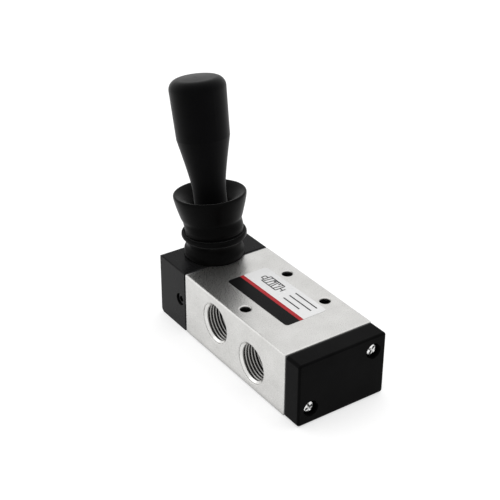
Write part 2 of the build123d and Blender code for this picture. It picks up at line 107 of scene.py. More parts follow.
class Shader:
    """A principled material, with the node patterns that the finishes share."""

    def __init__(self, name: str) -> None:
        """Start a material.

        Args:
            name: The material's name.
        """
        self.material = bpy.data.materials.new(name)
        self.material.use_nodes = True
        self.tree = self.material.node_tree
        self.surface = self.tree.nodes["Principled BSDF"]
        self.place = self.tree.nodes.new("ShaderNodeTexCoord").outputs["Object"]

    def constants(self, values: dict[str, float]) -> None:
        """Set the surface's sockets that are the same all over."""
        for name, value in values.items():
            self.surface.inputs[name].default_value = value

    def noise(self, size: float, detail: float) -> bpy.types.NodeSocket:
        """A noise whose features are about one size.

        Args:
            size: Length of a feature, in metres.
            detail: Octaves of finer noise on top.

        Returns:
            The noise's value, from 0 to 1.
        """
        node = self.tree.nodes.new("ShaderNodeTexNoise")
        node.inputs["Scale"].default_value = 1 / size
        node.inputs["Detail"].default_value = detail
        self.tree.links.new(self.place, node.inputs["Vector"])
        return node.outputs["Fac"]

    def between(self, source: bpy.types.NodeSocket, low: float, high: float) -> bpy.types.NodeSocket:
        """Spread the middle of a noise over a range of values.

        Args:
            source: The noise.
            low: The value in its hollows.
            high: The value on its peaks.

        Returns:
            The spread value.
        """
        node = self.tree.nodes.new("ShaderNodeMapRange")
        node.inputs["From Min"].default_value = NOISE_HOLLOW
        node.inputs["From Max"].default_value = NOISE_PEAK
        node.inputs["To Min"].default_value = low
        node.inputs["To Max"].default_value = high
        self.tree.links.new(source, node.inputs["Value"])
        return node.outputs["Result"]

    def blend(self, source: bpy.types.NodeSocket, first: Color, second: Color) -> bpy.types.NodeSocket:
        """A colour that goes from one to another with a noise.

        Args:
            source: The noise.
            first: The colour in its hollows.
            second: The colour on its peaks.

        Returns:
            The colour.
        """
        ramp = self.tree.nodes.new("ShaderNodeValToRGB")
        ramp.color_ramp.elements[0].position = NOISE_HOLLOW
        ramp.color_ramp.elements[0].color = (*first, 1)
        ramp.color_ramp.elements[1].position = NOISE_PEAK
        ramp.color_ramp.elements[1].color = (*second, 1)
        self.tree.links.new(source, ramp.inputs["Fac"])
        return ramp.outputs["Color"]

    def painted_cavity_shade(self, color: bpy.types.NodeSocket, reach: float, left: float) -> bpy.types.NodeSocket:
        """Paint shade into a colour inside holes and corners, darker where the surroundings close in.

        Args:
            color: The open surface's colour.
            reach: How far away a wall still shades, in metres.
            left: The share of the colour left in the deepest shade.

        Returns:
            The shaded colour.
        """
        shade = self.tree.nodes.new("ShaderNodeAmbientOcclusion")
        shade.samples = 8
        shade.inputs["Distance"].default_value = reach
        level = self.tree.nodes.new("ShaderNodeMapRange")
        level.interpolation_type = "SMOOTHSTEP"
        level.inputs["From Min"].default_value = PAINTED_SHADE_DEEP
        level.inputs["From Max"].default_value = PAINTED_SHADE_OPEN
        level.inputs["To Min"].default_value = left
        mixed = self.tree.nodes.new("ShaderNodeVectorMath")
        mixed.operation = "SCALE"
        self.tree.links.new(shade.outputs["AO"], level.inputs["Value"])
        self.tree.links.new(color, mixed.inputs[0])
        self.tree.links.new(level.outputs["Result"], mixed.inputs["Scale"])
        return mixed.outputs["Vector"]

    def relief(
        self, layers: Iterable[tuple[bpy.types.NodeSocket, float]], soft_edge: float = 0.0
    ) -> None:
        """Stack bumps on the surface.

        Args:
            layers: Pairs of a height pattern and its depth in metres.
            soft_edge: How far from an edge the surface starts to look rounded, in metres.
        """
        normal = None
        if soft_edge > 0:
            worn = self.tree.nodes.new("ShaderNodeBevel")
            worn.samples = 6
            worn.inputs["Radius"].default_value = soft_edge
            normal = worn.outputs["Normal"]
        for height, depth in layers:
            node = self.tree.nodes.new("ShaderNodeBump")
            node.inputs["Strength"].default_value = 1.0
            node.inputs["Distance"].default_value = depth
            self.tree.links.new(height, node.inputs["Height"])
            if normal is not None:
                self.tree.links.new(normal, node.inputs["Normal"])
            normal = node.outputs["Normal"]
        if normal is not None:
            self.tree.links.new(normal, self.surface.inputs["Normal"])

    def feed(self, socket: str, source: bpy.types.NodeSocket) -> None:
        """Drive one of the surface's sockets."""
        self.tree.links.new(source, self.surface.inputs[socket])


@dataclass(frozen=True)
class Metal:
    """A bare or plated metal with fine grain, flecks and slow blotches, and painted shade in its holes and
    corners.
    """

    name: str
    shade: Color
    dull: Color
    rough_low: float
    rough_high: float
    grain: float = 0.25 * MM
    grain_depth: float = 0.002 * MM
    fleck: float = 0.3 * MM
    fleck_depth: float = 0.001 * MM
    blotch: float = 7 * MM
    # Painted shade in holes and corners: how far a wall still shades, and the share of colour left at its darkest
    painted_shade_reach: float = 5 * MM
    painted_shade_left: float = 0.5
    soft_edge: float = 0.0

    def make(self) -> bpy.types.Material:
        """Build the material.

        Returns:
            The material.
        """
        shader = Shader(self.name)
        shader.constants({"Metallic": 1.0})
        cloud = shader.noise(self.blotch, 4)
        grain = shader.noise(self.grain, 2)
        flecks = shader.noise(self.fleck, 3)
        open_color = shader.blend(cloud, self.dull, self.shade)
        # The base colour gets painted shade in holes and corners
        shader.feed("Base Color", shader.painted_cavity_shade(open_color, self.painted_shade_reach, self.painted_shade_left))
        shader.feed("Roughness", shader.between(flecks, self.rough_low, self.rough_high))
        shader.relief([(flecks, self.fleck_depth), (grain, self.grain_depth)], self.soft_edge)
        return shader.material


@dataclass(frozen=True)
class Moulded:
    """Moulded plastic, rubber or paint, with a fine pebble, a slow wave and painted shade in its hollows."""

    name: str
    shade: Color
    worn: Color
    rough_low: float
    rough_high: float
    pebble: float = 0.35 * MM
    pebble_depth: float = 0.012 * MM
    wave: float = 6 * MM
    wave_depth: float = 0.02 * MM
    blotch: float = 9 * MM
    specular: float = 0.5
    sheen: float = 0.0
    sheen_roughness: float = 0.4
    # Painted shade in hollows: how far a wall still shades, and the share of colour left at its darkest
    painted_shade_reach: float = 3 * MM
    painted_shade_left: float = 0.3

    def make(self) -> bpy.types.Material:
        """Build the material.

        Returns:
            The material.
        """
        shader = Shader(self.name)
        shader.constants({
            "Specular IOR Level": self.specular,
            "Sheen Weight": self.sheen,
            "Sheen Roughness": self.sheen_roughness,
        })
        cloud = shader.noise(self.blotch, 5)
        pebble = shader.noise(self.pebble, 2)
        wave = shader.noise(self.wave, 1)
        open_color = shader.blend(cloud, self.shade, self.worn)
        # The base colour gets painted shade in hollows
        shader.feed("Base Color", shader.painted_cavity_shade(open_color, self.painted_shade_reach, self.painted_shade_left))
        shader.feed("Roughness", shader.between(cloud, self.rough_low, self.rough_high))
        shader.relief([(wave, self.wave_depth), (pebble, self.pebble_depth)])
        return shader.material


# Strong painted shade makes the mounting holes almost black
SATIN_ALUMINIUM = Metal(
    "satin_aluminium", (0.67, 0.665, 0.65), (0.61, 0.605, 0.59), 0.22, 0.42,
    grain=0.22 * MM, grain_depth=0.008 * MM, fleck=0.45 * MM, fleck_depth=0.006 * MM,
    painted_shade_left=0.03, soft_edge=0.9 * MM,
)
# Machined aluminium for the threads, spool and spacers. Its colour is set darker than the metal's own, as painted
# shade for the dim insides of the ports.
SHADED_CUT_ALUMINIUM = Metal(
    "machined_aluminium", (0.42, 0.415, 0.40), (0.36, 0.355, 0.345), 0.24, 0.34,
    grain=0.12 * MM, painted_shade_reach=8 * MM, painted_shade_left=0.05,
)
# Strong painted shade makes the cross recesses almost black
ZINC_PLATE = Metal(
    "zinc_plated_steel", (0.86, 0.86, 0.85), (0.74, 0.74, 0.74), 0.16, 0.28,
    grain=0.15 * MM, painted_shade_reach=1.6 * MM, painted_shade_left=0.02,
)
# Light painted shade on the port bevels
BEVEL_ALUMINIUM = Metal(
    "bevelled_aluminium", (0.76, 0.755, 0.74), (0.68, 0.675, 0.66), 0.2, 0.3,
    grain=0.12 * MM, painted_shade_reach=2 * MM, painted_shade_left=0.6,
)
TURNED_STEEL = Metal("turned_steel", (0.62, 0.62, 0.63), (0.55, 0.55, 0.56), 0.2, 0.3)
BLACKED_STEEL = Metal("blackened_steel", (0.06, 0.06, 0.063), (0.03, 0.03, 0.032), 0.3, 0.45)
BRASS = Metal("brass", (0.83, 0.64, 0.30), (0.74, 0.55, 0.25), 0.2, 0.35)
HOUSING_BLACK = Moulded(
    "black_anodised_metal", (0.006, 0.006, 0.0063), (0.011, 0.011, 0.0115), 0.20, 0.32,
    pebble=0.25 * MM, pebble_depth=0.006 * MM, specular=0.06,
)
CAP_BLACK = Moulded(
    "black_moulded_plastic", (0.002, 0.002, 0.0021), (0.004, 0.004, 0.0041), 0.34, 0.44,
    pebble=0.3 * MM, pebble_depth=0.008 * MM, specular=0.015, sheen=0.08,
)
KNOB_BLACK = Moulded(
    "black_knob_plastic", (0.0014, 0.0014, 0.0016), (0.0026, 0.0026, 0.003), 0.38, 0.48,
    pebble=0.28 * MM, pebble_depth=0.010 * MM, specular=0.02, sheen=0.26,
)
# Painted shade in the boot's folds and hollows
BOOT_RUBBER = Moulded(
    "boot_rubber", (0.001, 0.001, 0.001), (0.0022, 0.0022, 0.0022), 0.28, 0.40,
    pebble=0.4 * MM, pebble_depth=0.012 * MM, specular=0.025, sheen=0.12, painted_shade_left=0.1,
)
SEAL_RUBBER = Moulded("nitrile_rubber", (0.010, 0.010, 0.010), (0.016, 0.016, 0.016), 0.4, 0.55)
WHITE_RING = Moulded("white_ptfe", (0.80, 0.80, 0.78), (0.74, 0.74, 0.72), 0.3, 0.4)
LABEL_FILM = Moulded(
    "label_film", (0.73, 0.73, 0.73), (0.69, 0.69, 0.69), 0.22, 0.32,
    pebble=0.5 * MM, pebble_depth=0.002 * MM, wave_depth=0.01 * MM, specular=0.4,
)
LABEL_BLACK = Moulded(
    "label_black_ink", (0.003, 0.003, 0.0032), (0.005, 0.005, 0.0052), 0.24, 0.34,
    pebble=0.5 * MM, pebble_depth=0.002 * MM, wave_depth=0.01 * MM, specular=0.05,
)
LABEL_RED = Moulded(
    "label_red_ink", (0.34, 0.014, 0.020), (0.42, 0.025, 0.030), 0.28, 0.38,
    pebble=0.5 * MM, pebble_depth=0.002 * MM, wave_depth=0.01 * MM, specular=0.08,
)
LABEL_GREY = Moulded(
    "label_grey_ink", (0.012, 0.012, 0.013), (0.025, 0.025, 0.026), 0.3, 0.4,
    pebble=0.4 * MM, pebble_depth=0.002 * MM, specular=0.15,
)

NODE_FINISHES = {
    "valve_body": SATIN_ALUMINIUM,
    "lever_housing": HOUSING_BLACK,
    "end_cap": CAP_BLACK,
    "housing_gasket": SEAL_RUBBER,
    "cap_gasket": SEAL_RUBBER,
    "end_seals": SEAL_RUBBER,
    "seal_spacers": SHADED_CUT_ALUMINIUM,
    "spool_bumper": SEAL_RUBBER,
    "spool": SHADED_CUT_ALUMINIUM,
    "spool_seals": SEAL_RUBBER,
    "wear_rings": WHITE_RING,
    "detent_rod": TURNED_STEEL,
    "detent_ball": TURNED_STEEL,
    "detent_spring": TURNED_STEEL,
    "detent_plug": BLACKED_STEEL,
    "lever_shaft": TURNED_STEEL,
    "pivot_pin": TURNED_STEEL,
    "knob_insert": BRASS,
    "knob": KNOB_BLACK,
}


class Palette:
    """Makes each finish once and hands it out."""

    def __init__(self) -> None:
        """Start with nothing made."""
        self.made: dict[str, bpy.types.Material] = {}

    def get(self, finish: Metal | Moulded) -> bpy.types.Material:
        """The material of a finish, made the first time it is asked for.

        Args:
            finish: The finish.

        Returns:
            Its material.
        """
        if finish.name not in self.made:
            self.made[finish.name] = finish.make()
        return self.made[finish.name]

    def dress(self, piece: bpy.types.Object, finish: Metal | Moulded) -> None:
        """Give every slot of a piece one finish.

        Args:
            piece: The piece.
            finish: The finish that it gets.
        """
        material = self.get(finish)
        if not piece.data.materials:
            piece.data.materials.append(material)
        for slot in piece.material_slots:
            slot.link = "OBJECT"
            slot.material = material


# ------------------------------------------------------------------ meshes


def shown(
    name: str, vertices: Sequence[Vector], faces: Sequence[Sequence[int]], sharp: float = 35
) -> bpy.types.Object:
    """Make an object from vertices and faces, smooth up to a sharp edge.

    Args:
        name: The piece's name.
        vertices: Its points.
        faces: Its faces, as indices of the points.
        sharp: The angle in degrees above which an edge stays sharp.

    Returns:
        The new object.
    """
    mesh = bpy.data.meshes.new(name)
    mesh.from_pydata([tuple(v) for v in vertices], [], [tuple(f) for f in faces])
    work = bmesh.new()
    work.from_mesh(mesh)
    bmesh.ops.remove_doubles(work, verts=work.verts, dist=1e-7)
    bmesh.ops.dissolve_degenerate(work, edges=work.edges, dist=1e-8)
    bmesh.ops.recalc_face_normals(work, faces=work.faces)
    work.to_mesh(mesh)
    work.free()
    mesh.shade_smooth()
    mesh.set_sharp_from_angle(angle=math.radians(sharp))
    piece = bpy.data.objects.new(name, mesh)
    bpy.context.collection.objects.link(piece)
    return piece


def skin(
    name: str, rings: Sequence[Sequence[Vector]], looped: bool = False, sharp: float = 35
) -> bpy.types.Object:
    """Join closed rings of equal length, one after the other, into a surface.

    Args:
        name: The piece's name.
        rings: The rings of points.
        looped: Whether the last ring joins the first again.
        sharp: The angle in degrees above which an edge stays sharp.

    Returns:
        The new object.
    """
    count = len(rings[0])
    vertices = [point for ring in rings for point in ring]
    faces = []
    stack = len(rings) if looped else len(rings) - 1
    for i in range(stack):
        near, far = i * count, (i + 1) % len(rings) * count
        for j in range(count):
            k = (j + 1) % count
            faces.append((near + j, near + k, far + k, far + j))
    return shown(name, vertices, faces, sharp)


def basis(origin: Vector, axis: Vector) -> Matrix:
    """A frame at a point whose Z runs along an axis.

    Args:
        origin: The frame's origin.
        axis: The direction of its Z.

    Returns:
        The matrix from the frame's coordinates to the valve's.
    """
    turn = axis.normalized().to_track_quat("Z", "X").to_matrix().to_4x4()
    return Matrix.Translation(origin) @ turn


def circle(radius: float, height: float, count: int) -> list[Vector]:
    """The points of a circle at a height along Z."""
    angles = [i * (2 * math.pi / count) for i in range(count)]
    return [Vector((radius * math.cos(a), radius * math.sin(a), height)) for a in angles]


def lathe(
    name: str, profile: Sequence[Point], place: Matrix, count: int = 64, sharp: float = 35
) -> bpy.types.Object:
    """Turn a profile of (radius, height) points about a frame's Z.

    Args:
        name: The piece's name.
        profile: The points, from one end of the piece to the other.
        place: The frame.
        count: Facets around.
        sharp: The angle in degrees above which an edge stays sharp.

    Returns:
        The new object.
    """
    rings = [[place @ p for p in circle(radius, height, count)] for radius, height in profile]
    return skin(name, rings, sharp=sharp)


def rounded(points: Sequence[Point], steps: int = 6) -> list[Point]:
    """A smooth curve through points, as Catmull and Rom draw it.

    Args:
        points: The points that the curve passes.
        steps: Pieces between one point and the next.

    Returns:
        The curve's points.
    """
    padded = [points[0], *points, points[-1]]
    curve: list[Point] = []
    for a, b, c, d in zip(padded, padded[1:], padded[2:], padded[3:]):
        for i in range(steps):
            t = i / steps
            curve.append(tuple(
                0.5 * (
                    2 * b[n] + (c[n] - a[n]) * t
                    + (2 * a[n] - 5 * b[n] + 4 * c[n] - d[n]) * t * t
                    + (3 * b[n] - a[n] - 3 * c[n] + d[n]) * t ** 3
                )
                for n in (0, 1)
            ))
    return [*curve, points[-1]]


def plate(
    name: str, outline: Sequence[Point], bottom: float, top: float, soften: float = 0.0
) -> bpy.types.Object:
    """A flat plate with an outline in X and Y.

    Args:
        name: The piece's name.
        outline: The corners, in order.
        bottom: Height of the underside.
        top: Height of the top.
        soften: How far the top's rim is drawn in, for a soft edge.

    Returns:
        The new object.
    """
    middle = Vector((sum(p[0] for p in outline), sum(p[1] for p in outline))) / len(outline)
    count = len(outline)
    levels = [(bottom, 0.0), (top - soften, 0.0), (top, soften)]
    vertices = []
    for height, inset in levels:
        for x, y in outline:
            reach = Vector((x, y)) - middle
            shrunk = middle + reach * (1 - inset / max(reach.length, 1e-9))
            vertices.append(Vector((shrunk.x, shrunk.y, height)))
    faces = [tuple(reversed(range(count))), tuple(range(2 * count, 3 * count))]
    for level in (0, count):
        for j in range(count):
            k = (j + 1) % count
            faces.append((level + j, level + k, level + count + k, level + count + j))
    return shown(name, vertices, faces)


def rounded_rectangle(
    low: Point, high: Point, radii: Sequence[float], steps: int = 8
) -> list[Point]:
    """A rectangle with its own radius at each corner.

    Args:
        low: Its lowest X and Y.
        high: Its highest X and Y.
        radii: Radii at (low X, low Y), (high X, low Y), (high X, high Y), (low X, high Y).
        steps: Facets of a corner.

    Returns:
        The outline, anticlockwise.
    """
    corners = [
        (low[0], low[1], 1, 1, 180), (high[0], low[1], -1, 1, 270),
        (high[0], high[1], -1, -1, 0), (low[0], high[1], 1, -1, 90),
    ]
    outline: list[Point] = []
    for (x, y, right, up, start), radius in zip(corners, radii):
        if radius <= 0:
            outline.append((x, y))
            continue
        centre = (x + right * radius, y + up * radius)
        for i in range(steps + 1):
            angle = math.radians(start + 90 * i / steps)
            outline.append((centre[0] + radius * math.cos(angle), centre[1] + radius * math.sin(angle)))
    return outline


def joined(name: str, pieces: Sequence[bpy.types.Object]) -> bpy.types.Object:
    """Join pieces into one object with a new name.

    Args:
        name: The object's name.
        pieces: The pieces, of which the first becomes the whole.

    Returns:
        The object.
    """
    bpy.ops.object.select_all(action="DESELECT")
    for piece in pieces:
        piece.select_set(True)
    bpy.context.view_layer.objects.active = pieces[0]
    bpy.ops.object.join()
    pieces[0].name = name
    pieces[0].data.name = name
    return pieces[0]


def carved(piece: bpy.types.Object, cutter: bpy.types.Object) -> None:
    """Cut one piece out of another for good, and delete the cutter.

    Args:
        piece: The piece that is cut.
        cutter: The piece that cuts.
    """
    cut = piece.modifiers.new("cut", "BOOLEAN")
    cut.operation = "DIFFERENCE"
    cut.solver = "EXACT"
    cut.object = cutter
    graph = bpy.context.evaluated_depsgraph_get()
    result = bpy.data.meshes.new_from_object(piece.evaluated_get(graph))
    piece.modifiers.clear()
    piece.data = result
    result.shade_smooth()
    result.set_sharp_from_angle(angle=math.radians(35))
    bpy.data.objects.remove(cutter)


# ------------------------------------------------------------------ the valve's pieces


@dataclass
class PortThread:
    """The thread in one port, and the bevel that leads into it."""

    name: str
    mount: str
    pitch: float
    minor_radius: float
    count: int = 96
    samples: int = 10
    edge: float = 0.3 * MM
    clearance: float = 0.01 * MM
    floor_gap: float = 0.4 * MM
    steepness: float = 1.25
    runout: float = 3.0

    def profile_radius(self, turn: float, major: float) -> float:
        """Radius of the thread's flank at a place along it.

        Args:
            turn: The place, in pitches.
            major: The port's radius.

        Returns:
            The radius.
        """
        wave = 4 * abs(turn % 1 - 0.5) - 1
        share = (max(-1, min(1, self.steepness * wave)) + 1) / 2
        return self.minor_radius + share * (major - self.minor_radius)

    def bevel(self, major: float, depth: float, place: Matrix, palette: Palette) -> bpy.types.Object:
        """The clean cone between the port's edge and the thread's crests.

        Args:
            major: The port's radius.
            depth: How deep the cone goes.
            place: The port's frame.
            palette: The finishes.

        Returns:
            The cone, riding on the valve.
        """
        profile = [(major, self.edge), (self.minor_radius, depth), (major, depth)]
        rings = [[place @ p for p in circle(r, h, self.count)] for r, h in profile]
        cone = skin(self.name.replace("thread", "bevel"), rings, looped=True)
        palette.dress(cone, BEVEL_ALUMINIUM)
        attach(cone, Carrier.VALVE.value)
        return cone

    def build(self, palette: Palette) -> bpy.types.Object:
        """Build the bevel and the thread in their port.

        Args:
            palette: The finishes.

        Returns:
            The thread, riding on the valve.
        """
        mount = next(m for m in frame["record"]["mounts"] if m["name"] == self.mount)
        major = mount["dims"]["r_mm"] * MM - self.clearance
        length = mount["dims"]["length_mm"] * MM
        out = Vector(mount["axis"])
        mouth = Vector(mount["pos_m"]) + out * length / 2
        depth = length - self.floor_gap
        place = basis(mouth, -out)
        start = self.edge + major - self.minor_radius
        self.bevel(major, start, place, palette)
        rows = math.ceil((depth - start) / self.pitch) + 2
        columns = []
        for i in range(self.count):
            angle = 2 * math.pi * i / self.count
            points = []
            for j in range(rows * self.samples + 1):
                turn = j / self.samples - 1
                height = min(max(start + (turn + i / self.count) * self.pitch, start), depth)
                runout = self.minor_radius + self.runout * (height - start)
                points.append((min(self.profile_radius(turn, major), runout), height))
            points += [(major, depth), (major, start)]
            columns.append([
                place @ Vector((r * math.cos(angle), r * math.sin(angle), h)) for r, h in points
            ])
        piece = self.wound(columns)
        palette.dress(piece, SHADED_CUT_ALUMINIUM)
        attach(piece, Carrier.VALVE.value)
        return piece

    def wound(self, columns: Sequence[Sequence[Vector]]) -> bpy.types.Object:
        """Join the columns round the port, the last one pitch further on than the first.

        Args:
            columns: The thread's outlines, each of which ends with two points on the wall.

        Returns:
            The thread.
        """
        count = len(columns[0])
        end = count - 3
        vertices = [point for column in columns for point in column]
        faces = []
        last = len(columns) - 1
        for i in range(last + 1):
            near, far = i * count, (i + 1) % len(columns) * count
            shift = self.samples if i == last else 0
            for j in range(end + 1):
                k = min(j + 1, end)
                far_j, far_k = min(j + shift, end), min(k + shift, end)
                faces.append((near + j, near + k, far + far_k, far + far_j))
            for j in (end, end + 1):
                faces.append((near + j, near + j + 1, far + j + 1, far + j))
            faces.append((near + end + 2, near, far, far + end + 2))
        tidy = [tuple(dict.fromkeys(face)) for face in faces]
        return shown(self.name, vertices, [face for face in tidy if len(face) > 2], 40)


@dataclass
class PanHeadScrews:
    """Two cross-recessed screws that stand for a packed pair."""

    node: str
    slope: Slope
    facing: int
    head_radius: float = 2.6 * MM
    head_height: float = 2.0 * MM
    shank_radius: float = 1.5 * MM
    thread_pitch: float = 0.5 * MM
    threaded: float = 0.75
    recess_half: float = 1.85 * MM
    recess_width: float = 0.95 * MM
    recess_depth: float = 1.4 * MM
    turns: tuple[float, float] = (20.0, 52.0)

    def places(self) -> tuple[list[Point], float, float]:
        """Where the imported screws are.

        Returns:
            The two (y, z) middles, the x of the heads' tops and the x of the shanks' ends.
        """
        low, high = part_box(self.node)
        r = self.head_radius
        bottom, top = (low.z + r, high.z - r) if self.slope is Slope.RISING else (high.z - r, low.z + r)
        crown, tip = (high.x, low.x) if self.facing > 0 else (low.x, high.x)
        return [(low.y + r, bottom), (high.y - r, top)], crown, tip

    def profile(self, length: float) -> list[Point]:
        """Half the screw's outline, from the point to the crown.

        Args:
            length: The shank's length.

        Returns:
            The points, as (radius, height over the head's seat).
        """
        h, r, s = self.head_height, self.head_radius, self.shank_radius
        pitch = self.thread_pitch
        groove = s - 0.6 * pitch
        points: list[Point] = [(0, -length), (groove, -length)]
        turns = int((length * self.threaded) / pitch)
        for i in range(turns):
            start = -length + i * pitch
            points += [(groove, start + 0.1 * pitch), (s, start + 0.5 * pitch)]
        points += [(groove, -length + turns * pitch), (s, -length + (turns + 1) * pitch)]
        points += [(s, 0), (r - 0.1 * MM, 0), (r, 0.12 * MM)]
        dome = [(r, 0.5 * h), (r * 0.93, 0.78 * h), (r * 0.72, 0.94 * h), (r * 0.35, h), (0, h)]
        return points + rounded(dome, 5)

    def cross(self, place: Matrix, turn: float) -> list[bpy.types.Object]:
        """The cutters of the cross recess: two tapered blades.

        Args:
            place: The screw's frame.
            turn: How far the cross is turned, in degrees.

        Returns:
            The cutters.
        """
        bottom = (0.3, self.head_height - self.recess_depth)
        mouth = (1.12, self.head_height + 0.3 * MM)
        blades = []
        for quarter in (0, 90):
            spin = place @ Matrix.Rotation(math.radians(turn + quarter), 4, "Z")
            rings = []
            for share, height in (bottom, mouth):
                a, b = self.recess_half * share, self.recess_width / 2
                rings.append([spin @ Vector((x * a, y * b, height)) for x, y in SQUARE])
            blade = skin("blade", rings)
            work = bmesh.new()
            work.from_mesh(blade.data)
            bmesh.ops.holes_fill(work, edges=work.edges)
            bmesh.ops.recalc_face_normals(work, faces=work.faces)
            work.to_mesh(blade.data)
            work.free()
            blades.append(blade)
        return blades

    def build(self, palette: Palette) -> bpy.types.Object:
        """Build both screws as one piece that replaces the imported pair.

        Args:
            palette: The finishes.

        Returns:
            The pair, riding on the valve.
        """
        middles, crown, tip = self.places()
        length = abs(crown - tip) - self.head_height
        pieces = []
        for (y, z), turn in zip(middles, self.turns):
            seat = Vector((crown - self.facing * self.head_height, y, z))
            place = basis(seat, Vector((self.facing, 0, 0)))
            screw = lathe("screw", self.profile(length), place, 48)
            for blade in self.cross(place, turn):
                carved(screw, blade)
            pieces.append(screw)
        piece = joined(self.node + "_detailed", pieces)
        palette.dress(piece, ZINC_PLATE)
        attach(piece, Carrier.VALVE.value)
        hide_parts(self.node)
        return piece


@dataclass
class Boot:
    """The rubber boot between the housing's turret and the lever.

    Its upturned lip and the cup above it meet in a fold. The lever's lean presses the fold
    together on one side and draws it out on the other.
    """

    rim_lean: float = 7.0
    turn_reach: float = 5.0
    rim: float = 16.68
    count: int = 120

    def __post_init__(self) -> None:
        """Find the boot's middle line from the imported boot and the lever's hinge."""
        hinge = next(j for j in frame["joints"] if j["name"] == "lever_swing")
        self.pivot = Vector(hinge["pos_m"])
        self.lean = math.radians(hinge["range_deg"][1] / 2)
        low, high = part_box("boot")
        self.deck = low.z
        self.turret_x = self.flange_middle()
        self.turn_z = self.pivot.z + (self.pivot.x - self.turret_x) / math.tan(self.lean)

    def flange_middle(self) -> float:
        """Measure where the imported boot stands.

        Returns:
            The x of the middle of its flange.
        """
        node = frame["nodes"]["boot"]
        points = [node.matrix_world @ v.co for v in node.data.vertices]
        flange = [p.x for p in points if p.z < self.deck + 0.1 * MM]
        return (min(flange) + max(flange)) / 2

    def bend(self, radius: float, height: float, angle: float) -> Vector:
        """Put a point of the boot's section in its place round the bent middle line.

        Args:
            radius: Its distance from the middle line, in millimetres.
            height: Its height from the turn, in millimetres.
            angle: Its angle round, in radians.

        Returns:
            The point.
        """
        share = min(max((height + self.turn_reach) / (2 * self.turn_reach), 0), 1)
        tilt = math.radians(self.rim_lean) * share * share * (3 - 2 * share)
        lift = height * MM
        drift = max(lift, 0)
        centre = Vector((
            self.turret_x - drift * math.sin(self.lean),
            0,
            self.turn_z + (lift if lift < 0 else drift * math.cos(self.lean)),
        ))
        across = Vector((math.cos(tilt), 0, math.sin(tilt)))
        return centre + radius * MM * (across * math.cos(angle) + Vector((0, 1, 0)) * math.sin(angle))

    def foot_to_fold(self, foot: float, drawn: float) -> list[Point]:
        """The flange, the waist, the lip and the fold up to the foot of the cup.

        Args:
            foot: Height of the boot's underside.
            drawn: 0 where the fold is pressed together, 1 where it is drawn out.

        Returns:
            The points, upwards.
        """
        pressed = [
            (12.32, 1.8), (12.05, 2.4), (11.3, 3.0), (10.8, 3.7), (10.8, 4.4), (11.35, 5.4),
            (12.2, 6.5), (13.0, 7.6), (13.33, 8.6), (13.3, 9.4), (12.95, 9.85), (12.6, 9.7),
            (12.2, 9.2), (11.75, 8.9), (11.5, 9.3), (11.5, 10.2), (11.6, 11.2), (11.8, 12.2),
            (12.15, 13.4), (12.5, 14.6),
        ]
        open_ = [
            (12.32, 1.8), (12.15, 2.5), (11.8, 3.4), (11.5, 4.4), (11.35, 5.4), (11.4, 6.4),
            (11.8, 7.3), (12.7, 7.65), (13.3, 8.1), (13.4, 8.9), (13.15, 9.6), (12.6, 9.8),
            (12.1, 9.7), (11.75, 9.8), (11.85, 10.4), (12.25, 11.0), (12.35, 11.9), (12.15, 12.9),
            (11.85, 13.9), (11.72, 15.0),
        ]
        flange = [(8.95, foot), (12.1, foot), (12.3, foot + 0.3)]
        wall = [
            (p[0] + (q[0] - p[0]) * drawn, foot + p[1] + (q[1] - p[1]) * drawn)
            for p, q in zip(pressed, open_)
        ]
        return [*flange, *wall]

    def cup(self, drawn: float) -> list[Point]:
        """The cup's wall, its rim and the dish down to the sleeve round the knob.

        Args:
            drawn: 0 where the lean presses the boot together, 1 where it draws it out.

        Returns:
            The points, from the foot of the wall.
        """
        rim = self.rim
        full = 0.95 * (1 - drawn)
        return [
            (12.25 + full, rim - 9.8), (13.05 + 0.8 * full, rim - 7.4),
            (13.85 + 0.5 * full, rim - 5.0), (14.55 + 0.2 * full, rim - 2.6),
            (14.88, rim - 1.1), (14.85, rim - 0.4), (14.5, rim - 0.02), (13.9, rim - 0.1),
            (12.6, rim - 0.7), (11.2, rim - 1.7), (9.7, rim - 3.2), (8.3, rim - 5.0),
            (7.3, rim - 7.0), (7.0, rim - 8.6), (7.0, rim - 10.6),
        ]

    def inside(self, foot: float) -> list[Point]:
        """The hollow under the dish, back down to the flange.

        Args:
            foot: Height of the boot's underside.

        Returns:
            The points, downwards.
        """
        rim = self.rim
        return [
            (8.2, rim - 10.6), (8.4, rim - 8.8), (9.6, rim - 6.6), (11.4, rim - 4.6),
            (12.6, rim - 3.8), (12.5, rim - 5.2), (11.5, rim - 8.6), (10.5, rim - 11.6),
            (10.1, foot + 12.0), (10.0, foot + 10.0), (9.6, foot + 8.2), (8.95, foot + 5.0),
            (8.95, foot + 1.0),
        ]

    def section(self, angle: float) -> list[Point]:
        """The wall's closed section at an angle round.

        Args:
            angle: The angle, in radians.

        Returns:
            The points, as (radius, height from the turn) in millimetres.
        """
        foot = (self.deck - self.turn_z) / MM
        drawn = 0.5 + 0.5 * math.cos(angle)
        outside = [*self.foot_to_fold(foot, drawn), *self.cup(drawn)]
        return [*rounded(outside, 5), *rounded(self.inside(foot), 3)]

    def build(self, palette: Palette) -> bpy.types.Object:
        """Build the boot in its bent shape, from the housing's turret up towards the lever.

        Args:
            palette: The finishes.

        Returns:
            The boot.
        """
        angles = [2 * math.pi * i / self.count for i in range(self.count)]
        columns = [[self.bend(r, h, angle) for r, h in self.section(angle)] for angle in angles]
        rings = [list(ring) for ring in zip(*columns)]
        piece = skin("boot_rubber", rings, looped=True, sharp=60)
        palette.dress(piece, BOOT_RUBBER)
        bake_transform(piece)
        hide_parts("boot")
        return piece


